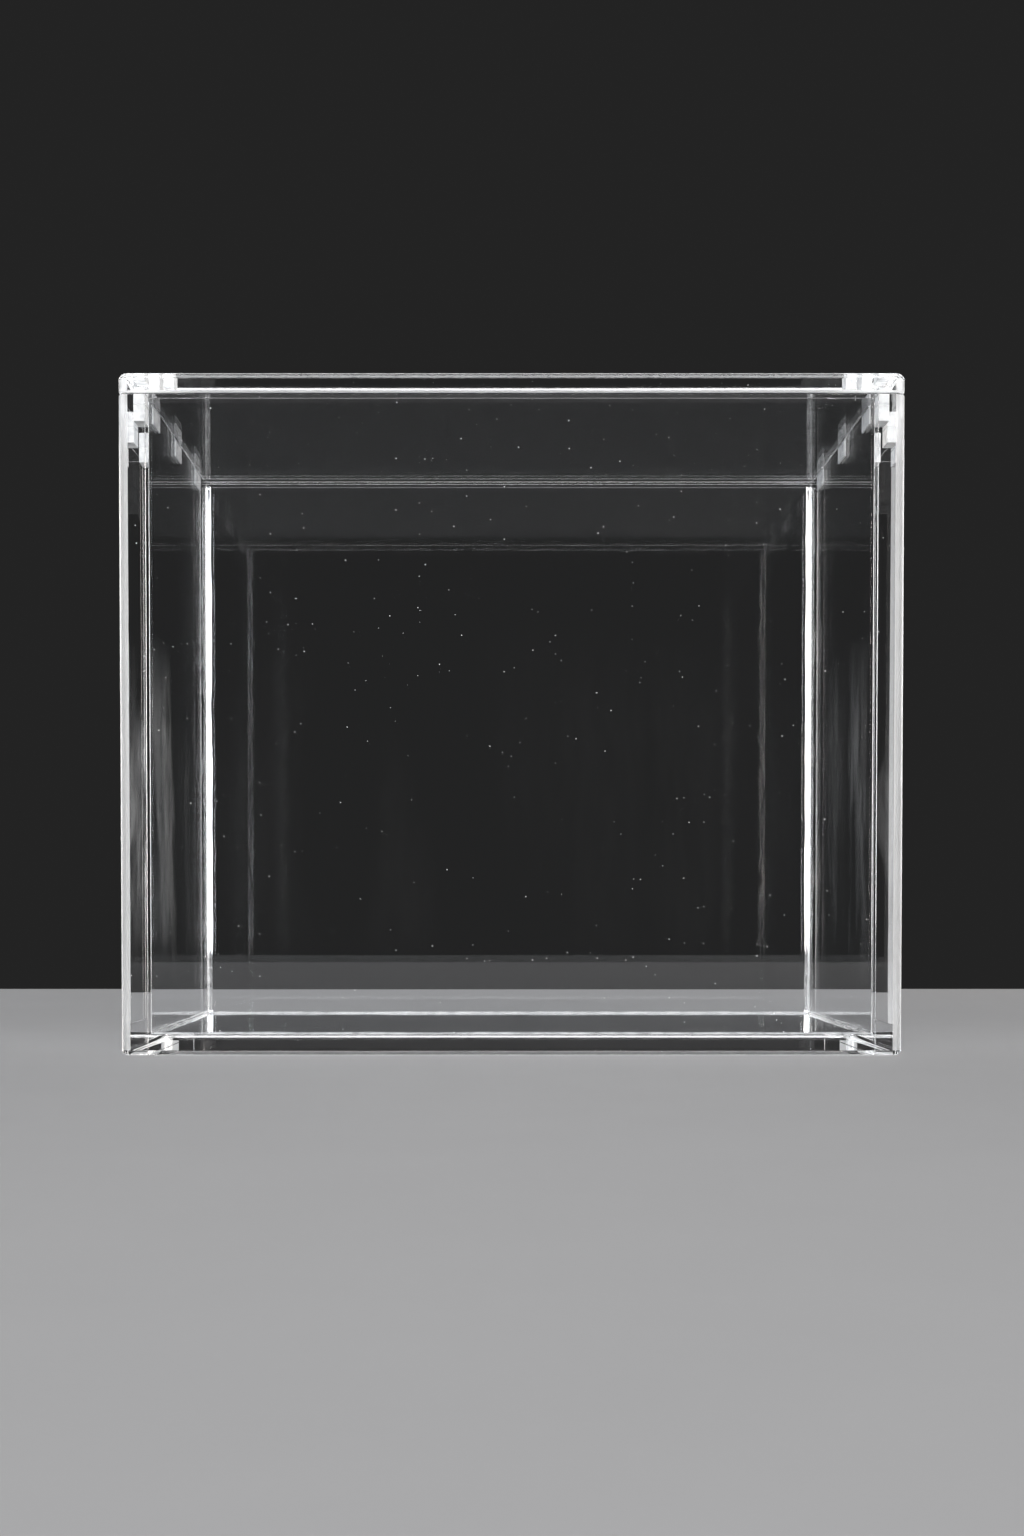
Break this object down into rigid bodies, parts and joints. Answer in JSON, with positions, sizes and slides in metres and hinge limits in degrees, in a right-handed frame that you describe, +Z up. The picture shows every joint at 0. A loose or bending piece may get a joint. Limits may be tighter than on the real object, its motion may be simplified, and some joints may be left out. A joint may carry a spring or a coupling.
{
  "type": "booster box case",
  "caption": "Clear acrylic display case with a lift-off magnetic lid, for keeping one sealed booster box of card packs.",
  "frame": {"origin": "middle of the case's underside, on the surface it stands on", "axes": "+X to the right along the case's width, +Y from the front panel to the back panel, +Z up towards the lid"},
  "size_m": [0.156, 0.093, 0.1353],
  "materials": {
    "acrylic": "clear cast acrylic sheet, polished edges",
    "magnet": "bright nickel plating"
  },
  "bodies": {
    "case": {"left_panel": "acrylic", "right_panel": "acrylic", "front_panel": "acrylic", "back_panel": "acrylic", "base_panel": "acrylic", "left_wall_magnet_front": "magnet", "left_wall_magnet_middle": "magnet", "left_wall_magnet_rear": "magnet", "right_wall_magnet_front": "magnet", "right_wall_magnet_middle": "magnet", "right_wall_magnet_rear": "magnet"},
    "lid": {"lid_panel": "acrylic", "left_lid_magnet_front": "magnet", "left_lid_magnet_middle": "magnet", "left_lid_magnet_rear": "magnet", "right_lid_magnet_front": "magnet", "right_lid_magnet_middle": "magnet", "right_lid_magnet_rear": "magnet"}
  },
  "joints": [
    {"name": "lid_lift", "type": "slide", "parent": "case", "child": "lid", "axis": [0, 0, 1], "range_m": [0, 0.15]}
  ]
}
